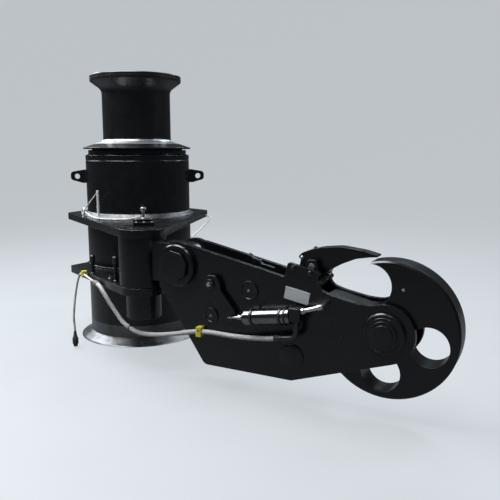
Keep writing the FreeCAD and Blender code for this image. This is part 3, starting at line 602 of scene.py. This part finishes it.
beads = bmesh.new()
for half, z in ((88, LOW_TOP + 1), (88, LOW_TOP - UNDERSIDE), (178, PLATE_TOP - UNDERSIDE)):
    add_bead(beads, arc_points(BEAD_R, NOSE_DEGREES - half, NOSE_DEGREES + half, z), 5)
add_bead(beads, [PIN + Vector(polar(43.5, degrees, 182)) for degrees in range(0, 356, 4)], 2.5)
new_piece("plate_weld_beads", beads, WELD_PAINT, "mast", 50)
beads = bmesh.new()
for angle in LUG_DEGREES:
    turned = Matrix.Rotation(math.radians(angle), 3, "Z")
    for side in (-1, 1):
        add_bead(beads, [turned @ Vector((202, side * 7.5, 608 + BEAD_STEP * k)) for k in range(21)], 3)
new_piece("lug_weld_beads", beads, WELD_PAINT, "mast", 50)

# Seal between the housing's neck and the turning head
lathe("head_seal_ring", rounded_profile([(150, NECK_TOP, 0), (176, NECK_TOP, 0), (176, SEAL_TOP, 1),
                                         (150, SEAL_TOP, 0)]), ORIGIN, UP, RUBBER, "mast", 96)


# Small hardware
def add_bolt(bm, base, axis, flats, height, washer=0.0):
    base, axis = Vector(base), Vector(axis).normalized()
    if washer:
        add_lathe(bm, [(0, 0), (washer, 0), (washer, 1.2), (washer - 0.8, 2), (0, 2)], base, axis, 28)
        base = base + axis * 2
    add_hexagon(bm, flats, height, base, axis, 0.3, 0.8)


def add_nipple(bm, base, axis, size):
    base, axis = Vector(base), Vector(axis).normalized()
    add_hexagon(bm, 8 * size, 3.5 * size, base, axis, 0.2, 0.5)
    add_lathe(bm, [(0, 3 * size), (2.4 * size, 3 * size), (2.0 * size, 5 * size), (1.5 * size, 6.2 * size),
                   (2.3 * size, 7.6 * size), (2.0 * size, 9 * size), (0, 9.8 * size)], base, axis, 16)


# Caps over the spacers' ends: two with a raised rim, one slightly domed
def cap(name, node, at, corners):
    piece = lathe(name, rounded_profile(corners), hook_at(*at, CHEEK_OUT), OUT, PAINT_SOFT, "frame",
                  64)
    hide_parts(node)


def rimmed(r):
    return [(0, 0.1, 0), (r, 0.1, 0), (r, 4.6, 1.4), (r - 5, 4.6, 1), (r - 6.5, 2.4, 1), (0, 2.4, 0)]


cap("spacer_cap_top", "cheek_bolt_top", CAP_TOP, rimmed(29))
cap("spacer_cap_rear", "cheek_bolt_rear", CAP_REAR, rimmed(24))
cap("spacer_cap_low", "cheek_boss_low", CAP_LOW,
    [(0, 0.1, 0), (37, 0.1, 0), (37, 3.4, 2.2), (24, 5.4, 6), (0, 5.9, 0)])

# Collars round the hook pin
collar = rounded_profile([(36.05, CHEEK_OUT, 0), (66, CHEEK_OUT, 0), (66, 69, 2), (62, 73, 2),
                          (36.05, 73, 0)])
for node, side in (("cheek_collar_near", OUT), ("cheek_collar_far", IN)):
    piece = lathe("ring_" + node, collar, hook_at(*HOOK_PIN, 0), side, PAINT_SOFT, "frame", 96)
    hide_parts(node)

# Disc pin with stepped heads, each step rounded
near = [(39.95, CHEEK_OUT, 0), (58, CHEEK_OUT, 0), (58, 62, 1.5), (54, 66, 1.5), (48, 66, 0.4), (47, 65, 0.4),
        (45.5, 65, 0.4), (44.5, 66, 0.4), (37, 66, 0.8), (37, 72, 1.5), (27, 72, 0.8), (27, 76, 1.5)]
far = [(r, -h, fillet) for r, h, fillet in reversed(near)]
disc_pin = lathe("stepped_disc_pin", rounded_profile([(0, -76, 0)] + far + near + [(0, 76, 0)], 4),
                 hook_at(*DISC_PIN, 0), OUT, PAINT_SOFT, "frame", 96)
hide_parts("disc_pin")

# Nipples on the caps, a screw in the cheek, and rivets in the name plate's corners
hardware = bmesh.new()
for at in (CAP_TOP, CAP_REAR):
    add_nipple(hardware, hook_at(*at, CHEEK_OUT + 2.4), OUT, 0.9)
screw = bmesh.new()
add_lathe(screw, [(0, -1), (4.2, -1), (4.2, 0.8), (3.2, 1.5), (0, 1.5)],
          hook_at(*FRAME_SCREW, CHEEK_OUT), OUT, 24)
new_piece("frame_screw", screw, DARK_METAL, "frame")
wide, high, tip = 33.5, 14.5, NAME_PLATE_TILT
for a, b in ((-wide, -high), (wide, -high), (-wide, high), (wide, high)):
    s = NAME_PLATE[0] + a * math.cos(tip) + b * math.sin(tip)
    z = NAME_PLATE[1] - a * math.sin(tip) + b * math.cos(tip)
    add_lathe(hardware, [(0, 0), (1.9, 0), (1.7, 0.9), (0.9, 1.4), (0, 1.5)],
              hook_at(s, z, CHEEK_OUT + 2.5), OUT, 14)
new_piece("frame_hardware", hardware, PIN_STEEL, "frame")

# Ear bolts and the latch roller beside the jaw block
latch = bmesh.new()
for at in EAR_BOLTS:
    add_bolt(latch, hook_at(*at, CHEEK_OUT), OUT, 9, 4, 6.5)
    add_bolt(latch, hook_at(*at, -CHEEK_OUT), IN, 9, 4, 6.5)
add_lathe(latch, rounded_profile([(0, -33, 0), (8, -33, 0), (8, -8, 1), (5.5, -6, 1), (5.5, 6, 1), (8, 8, 1),
                                  (8, 33, 0), (0, 33, 0)]), hook_at(*LATCH, 0), OUT, 32)
for side in (OUT, IN):
    add_lathe(latch, [(0, 30), (5, 30), (5, 39.5), (4, 39.9), (0, 39.9)], hook_at(*LATCH, 0), side, 24)
new_piece("latch_hardware", latch, DARK_METAL, "frame")

# Nub and tail pin on the guard arm
guard = bmesh.new()
add_bolt(guard, hook_at(614.6, 456, 0), (-0.25, 0, 0.97), 9, 7)
for side in (-1, 1):
    add_bolt(guard, hook_at(580, 430, -side * 18), (0, side, 0), 8, 4, 5)
new_piece("guard_hardware", guard, PIN_STEEL, "guard")

# Nipples on both faces of the disc
disc = bmesh.new()
for side in (-1, 1):
    add_nipple(disc, hook_at(875.3, 372.3, -side * 38), (0, side, 0), 1.0)
new_piece("disc_nipples", disc, PIN_STEEL, "disc")

# Stop studs on the lower plate; knob and keeper bolts on the upper one
studs, tips, fittings = bmesh.new(), bmesh.new(), bmesh.new()
for x, y, top in ((177, -361, 376), (16, -298, 358)):
    add_lathe(studs, [(0, LOW_TOP - 1), (9, LOW_TOP - 1), (9, LOW_TOP + 2), (6.5, LOW_TOP + 4),
                      (6.5, top - 25), (0, top - 25)], (x, y, 0), UP, 28)
    add_lathe(tips, rounded_profile([(0, top - 25.5, 0), (9.5, top - 25.5, 1.5), (9.5, top - 4, 3),
                                     (6, top, 2), (0, top, 0)]), (x, y, 0), UP, 28)
add_nipple(fittings, (140, -348, LOW_TOP), UP, 1.3)
knob = [(0, -1, 0), (14, -1, 0), (14, 5, 1), (6.5, 8, 2), (6.5, 31, 1), (12, 35, 3), (12, 44, 4), (0, 49, 0)]
add_lathe(fittings, rounded_profile(knob), (160, -180, PLATE_TOP), UP, 28)
for u in (KEEPER_U0 + 6, KEEPER_U1 - 6):
    for v in (-18, 8, 34):
        add_bolt(fittings, nose_at(u, v, PLATE_TOP + 12), UP, 8, 3.5)
new_piece("stud_shanks", studs, PAINT, "mast")
new_piece("stud_tips", tips, DARK_METAL, "mast")
new_piece("plate_fittings", fittings, PIN_STEEL, "mast")

# Release cylinder with its end rings, and its rod with a ball end and a nut
ALONG = Vector((math.cos(CYLINDER_TILT), 0, math.sin(CYLINDER_TILT)))
ROD_END = Vector(hook_at(*ROD_TIP, CYLINDER_OUT))
BARREL_MOUTH = ROD_END + ALONG * 55
barrel = lathe("cylinder_barrel", rounded_profile([
    (0, 80, 0), (7.4, 80, 0), (7.4, 26, 0), (9, 26, 0), (9, 0, 0), (15, 0, 0), (17, 2, 1), (17, 6, 1),
    (21.5, 7, 1), (21.5, 10, 0.6), (21.5, 34, 0), (20.5, 35, 0.3), (20.5, 37, 0.3), (21.5, 38, 0),
    (21.5, 121, 0.6), (20.5, 122, 0.5), (20.5, 126, 0), (22, 127, 0.6), (22, 150, 1.5), (19, 151.8, 0.5),
    (0, 151.8, 0)], 4),
    BARREL_MOUTH, ALONG, BARREL, "frame", 72)
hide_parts("release_cylinder")
rings = bmesh.new()
for h, wide in ((28, 7), (118, 8), (134, 6)):
    ring = [(20, h, 0), (24.6, h, 1.2), (24.6, h + wide, 1.2), (20, h + wide, 0)]
    add_lathe(rings, rounded_profile(ring, 3), BARREL_MOUTH, ALONG, 72)
new_piece("cylinder_rings", rings, GLOSS, "frame")
rod = bmesh.new()
add_lathe(rod, [(0, 0.1), (1.6, 0.5), (2.4, 2), (2.4, 14), (3.2, 16), (3.2, 27), (4.6, 28), (4.6, 40),
                (6.9, 42), (6.9, 100), (0, 100)], ROD_END, ALONG, 32)
add_hexagon(rod, 13.5, 8, ROD_END + ALONG * 38, ALONG, 0.2, 0.8)
add_lathe(rod, [(0, 75), (3.2, 75), (3.2, 86), (0, 88)], hook_at(382, 245.2, 0), OUT, 20)
piece = new_piece("rod_with_tip", rod, ROD_STEEL, "rod")
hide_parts("cylinder_rod")


def add_plate(bm, outline, y0, y1):
    # Plate in the hook's plane from (s, z) corners, between two distances from the hook's middle
    rows = [[bm.verts.new(Vector(hook_at(s, z, y)) * MM) for s, z in outline] for y in (y0, y1)]
    bm.faces.new(rows[0])
    bm.faces.new(list(reversed(rows[1])))
    for i in range(len(outline)):
        j = (i + 1) % len(outline)
        bm.faces.new([rows[0][j], rows[0][i], rows[1][i], rows[1][j]])


# Foot bracket of the cylinder, with its bright stay
FOOT_S = ROD_TIP[0] + 207 * math.cos(CYLINDER_TILT)
bracket = bmesh.new()
add_plate(bracket, [(FOOT_S - 1, 263), (FOOT_S + 28, 263), (FOOT_S + 33, 268), (FOOT_S + 33, 297),
                    (FOOT_S + 28, 302), (FOOT_S - 1, 302)], CHEEK_OUT, 103)
piece = new_piece("foot_bracket", bracket, PAINT, "frame")
edge = piece.modifiers.new("edge", "BEVEL")
edge.width = 2 * MM
edge.segments = 3
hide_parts("cylinder_bracket")
stay = bmesh.new()
stay_in = Vector(hook_at(FOOT_S + 29, 292, CYLINDER_OUT))
stay_out = Vector(hook_at(*STAY_PIN, CYLINDER_OUT))
reach = (stay_out - stay_in).length
add_lathe(stay, rounded_profile([(0, 0, 0), (8.5, 0, 0), (8.5, 12, 1), (6.4, 14, 1), (6.4, reach - 14, 1),
                                 (7.6, reach - 11, 1), (7.6, reach + 2, 3), (0, reach + 4, 0)]),
          stay_in, stay_out - stay_in, 28)
add_lathe(stay, [(0, CHEEK_OUT), (6.8, CHEEK_OUT), (6.8, 92), (5.5, 93.6), (0, 93.6)],
          hook_at(*STAY_PIN, 0), OUT, 24)
new_piece("bracket_stay", stay, PIN_STEEL, "frame")

# Elbow under the cylinder: nut, bent pipe, nut
elbow = bmesh.new()
flow = (Vector(ELBOW_TURN) - Vector(ELBOW_IN)).normalized()
bend_r, line = 16, [Vector(ELBOW_IN)]
for k in range(11):
    a = math.pi / 2 * k / 10
    rise = Vector((0, 0, bend_r * (1 - math.cos(a))))
    line.append(Vector(ELBOW_TURN) - flow * bend_r * (1 - math.sin(a)) + rise)
line.append(Vector((ELBOW_TURN[0], ELBOW_Y, ELBOW_TOP_Z)))
add_tube(elbow, [p * MM for p in line], 8.2, 20)
add_hexagon(elbow, 18.5, 14, Vector(ELBOW_IN) + flow * 2, flow, 0.1, 1)
add_lathe(elbow, [(0, 16), (9.2, 16), (9.2, 26), (8, 28), (0, 28)], ELBOW_IN, flow, 28)
add_hexagon(elbow, 19.5, 12, (ELBOW_TURN[0], ELBOW_Y, ELBOW_TOP_Z - 12), UP, 0.3, 1)
piece = new_piece("elbow_fitting", elbow, DARK_METAL, "frame")
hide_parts("hose_elbow")

# Lever pivot: dark washer with a recess, and a bright hexagon head
pivot = bmesh.new()
add_lathe(pivot, rounded_profile([(0, CHEEK_OUT, 0), (8.9, CHEEK_OUT, 0), (8.9, 75, 0), (14.8, 75, 0),
                                  (14.8, 78, 1), (11, 78, 1), (10, 76.4, 0), (0, 76.4, 0)], 3),
          hook_at(*LEVER_PIVOT, 0), OUT, 40)
piece = new_piece("pivot_washer", pivot, DARK_METAL, "frame")
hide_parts("lever_pivot")
pivot = bmesh.new()
add_hexagon(pivot, 12.5, 6, hook_at(*LEVER_PIVOT, 76.4), OUT, 0.35, 1.0)
new_piece("pivot_bolt_head", pivot, PIN_STEEL, "frame")

# Sleeve, joint ring and plug of the cords
run = Vector(SLEEVE_OUT) - Vector(SLEEVE_IN)
sleeve = lathe("tapered_sleeve", rounded_profile([
    (0, 0.1, 0), (5.4, 0.1, 0), (6.4, 4, 2), (8.4, 12, 4), (9.6, 22, 5), (9.6, 37, 1.5),
    (8.4, run.length, 0.5), (0, run.length, 0)], 4), SLEEVE_IN, run, SLEEVE, "mast", 32)
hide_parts("hose_gland")
lathe("hose_joint_ring", rounded_profile([(7.2, -3, 0), (8.4, -3, 0.6), (8.4, 3, 0.6), (7.2, 3, 0)], 3),
      HOSE_MEET, Vector(HOSE_FRAME[1]) - Vector(HOSE_MEET), RUBBER, "swivel", 28)
grip = [(0, 3, 0), (6, 3, 0.5), (8, 4.5, 0.5), (8, 12, 0.4), (11, 13, 0.8), (11, 34, 3), (8, 40, 1)]
for k in range(5):
    rib = 7.6 - 0.6 * k
    grip += [(rib, 41 + 4 * k, 0.4), (rib, 43 + 4 * k, 0.4), (4.6, 43.6 + 4 * k, 0.3)]
grip += [(4.4, 62.6, 0.3), (0, 62.8, 0)]
plug = lathe("plug_body", rounded_profile(grip, 3), (*PLUG_AT, 0), UP, RUBBER, "mast", 32)
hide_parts("cable_plug")

# Dark block on the yellow clip on the cheek: painted shade standing in for the clip's slot
slot_shade = bmesh.new()
add_plate(slot_shade, [(262, 184), (268, 184), (268, 188), (262, 188)], 76, 78.4)
new_piece("clip_slot_shade", slot_shade, RUBBER, "frame")


# Cords, each along its smoothed route
def cord_tube(name, route, diameter, material, body, node,
              sides=16):
    line = smooth_line(route)
    piece = tube(name, line, diameter / 2, material, body, sides)
    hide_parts(node)
    return piece


hose_a = cord_tube("hose_from_sleeve", HOSE_POST, HOSE_D, HOSE, None, "hose_post")
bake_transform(hose_a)
hose_b = cord_tube("hose_to_elbow", HOSE_FRAME, HOSE_D, HOSE, None, "hose_frame")
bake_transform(hose_b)
cord_tube("feed_line", FEED_CABLE, CABLE_D, CABLE, "mast", "feed_cable",
          sides=12)
cord_tube("pull_line", PULL_WIRE, WIRE_D, WIRE, "mast", "pull_wire", sides=10)
lanyard = cord_tube("lanyard_line", LANYARD, WIRE_D, WIRE, None, "lanyard",
                    sides=10)
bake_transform(lanyard)


# Floor, lights and camera
WALL_R, WALL_TOP, COVE_R = 10000.0, 6000.0, 4000.0
FLOOR_SHADES = (0.1, 0.108)
FLOOR_TINT, WORLD_TINT = (0.9, 0.95, 1.0, 1.0), (0.86, 0.93, 1.0, 1.0)


def stage_floor():
    # Round floor that curves up into a wall on all sides
    bm = bmesh.new()
    profile = [(0.0, 0.0), (1500.0, 0.0), (4000.0, 0.0)]
    for k in range(17):
        a = math.pi / 2 * k / 16
        profile.append((WALL_R - COVE_R + COVE_R * math.sin(a), COVE_R - COVE_R * math.cos(a)))
    profile.append((WALL_R, WALL_TOP))
    add_lathe(bm, profile, (MIDDLE[0] / MM, MIDDLE[1] / MM, 0), UP, 96)
    mesh = bpy.data.meshes.new("floor")
    bm.to_mesh(mesh)
    bm.free()
    mesh.shade_smooth()
    g = Graph("pale_floor")
    dark, light = (grey(shade, COOL_WHITE) for shade in FLOOR_SHADES)
    g.link(g.mix(g.remap(g.noise(3.0, 5.0), 0.4, 0.6), dark, light), g.shader.inputs["Base Color"])
    g.shader.inputs["Roughness"].default_value = 0.6
    g.link(seen(g, 0.0, FLOOR_GLOW, GLOSS_SHARE), g.shader.inputs["Emission Strength"])
    g.shader.inputs["Emission Color"].default_value = FLOOR_TINT
    mesh.materials.append(g.material)
    floor = bpy.data.objects.new("floor", mesh)
    bpy.context.scene.collection.objects.link(floor)


def seen(g, ambient, glow, share):
    # Strength for all rays, with more for the camera and a share of that for mirrored and passing rays
    rays = g.add("ShaderNodeLightPath")
    other = g.math("MAXIMUM", rays.outputs["Is Glossy Ray"], rays.outputs["Is Transmission Ray"])
    direct = g.math("MULTIPLY", rays.outputs["Is Camera Ray"], glow)
    return g.math("ADD", g.math("ADD", direct, g.math("MULTIPLY", other, glow * share)), ambient)


def area_light(name, at, size, power, colour):
    data = bpy.data.lights.new(name, "AREA")
    data.shape = "RECTANGLE"
    data.size, data.size_y = size
    data.energy = power
    data.color = colour
    lamp = bpy.data.objects.new(name, data)
    lamp.location = at
    lamp.rotation_euler = (Vector(MIDDLE) - Vector(at)).to_track_quat("-Z", "Y").to_euler()
    lamp.visible_camera = False
    bpy.context.scene.collection.objects.link(lamp)


class WorldGraph(Graph):
    # The same helpers for the world, which has no place on an object
    def __init__(self, name):
        self.world = bpy.data.worlds.new(name)
        self.world.use_nodes = True
        self.tree = self.world.node_tree
        self.shader = self.tree.nodes["Background"]


def from_camera(right, ahead, z):
    # Place by metres to the camera's right and ahead of the hook's middle
    c, s = math.cos(math.radians(CAMERA_YAW)), math.sin(math.radians(CAMERA_YAW))
    return (MIDDLE[0] + right * c - ahead * s, MIDDLE[1] + right * s + ahead * c, z)


# Lamps: metres to the camera's right, ahead and up; width and height in metres; watts; colour
LAMPS = {
    "overhead": ((-0.9, 0.1, 2.9), (2.2, 1.4), 120, (0.95, 0.98, 1.0)),
    "back_left": ((-2.0, 1.5, 2.1), (1.4, 0.8), 50, (0.85, 0.93, 1.0)),
    "back_right": ((1.4, 2.2, 2.5), (1.6, 0.5), 26, (0.8, 0.9, 1.0)),
    "left": ((-1.9, -0.5, 2.3), (0.5, 0.9), 28, (0.95, 0.98, 1.0)),
    "front": ((0.1, -2.0, 2.9), (0.3, 0.5), 10, (1.0, 0.98, 0.95)),
    "right": ((1.9, 0.3, 2.3), (0.5, 0.9), 24, (0.85, 0.93, 1.0))}


def lights():
    g = WorldGraph("studio")
    g.shader.inputs["Color"].default_value = WORLD_TINT
    g.link(seen(g, AMBIENT, WORLD_GLOW, GLOSS_SHARE), g.shader.inputs["Strength"])
    bpy.context.scene.world = g.world
    for name, (place, size, power, colour) in LAMPS.items():
        area_light(name, from_camera(*place), size, power, colour)


def camera():
    data = bpy.data.cameras.new("camera")
    data.lens = CAMERA_LENS
    data.sensor_width = SENSOR_WIDTH
    eye = bpy.data.objects.new("camera", data)
    eye.location = CAMERA_AT
    eye.rotation_euler = (math.radians(90 - CAMERA_PITCH), 0.0, math.radians(CAMERA_YAW))
    bpy.context.scene.collection.objects.link(eye)
    bpy.context.scene.camera = eye


stage_floor()
lights()
camera()
bpy.context.scene.view_settings.view_transform = "Standard"
